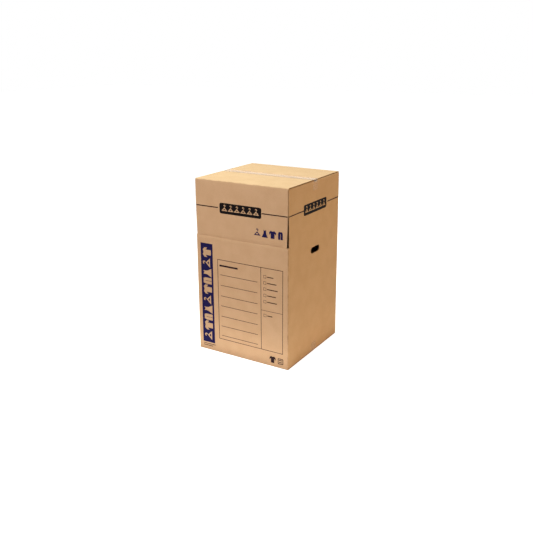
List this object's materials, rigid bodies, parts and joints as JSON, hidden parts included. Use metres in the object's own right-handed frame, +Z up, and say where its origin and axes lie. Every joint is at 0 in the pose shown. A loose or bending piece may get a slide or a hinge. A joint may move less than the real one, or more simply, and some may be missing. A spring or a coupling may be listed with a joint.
{
  "type": "wardrobe moving box",
  "caption": "Tall square moving carton for hanging clothes, with a drop-front door, hand holes in the sides, a steel hanger bar across the inside and taped top and bottom flaps.",
  "frame": {"origin": "middle of the box's footprint, on the surface it stands on", "axes": "+Z up, the printed front with the drop-front door faces -Y, and the hand holes are in the +X and -X sides"},
  "size_m": [0.5082, 0.508, 0.864],
  "materials": {
    "kraft_board": "matt brown kraft liner",
    "galvanised_steel": "dull zinc",
    "clear_tape": "clear glossy film"
  },
  "bodies": {
    "root": {"carton": "kraft_board", "hanger_bar": "galvanised_steel", "top_tape": "clear_tape", "bottom_tape": "clear_tape"}
  },
  "joints": []
}
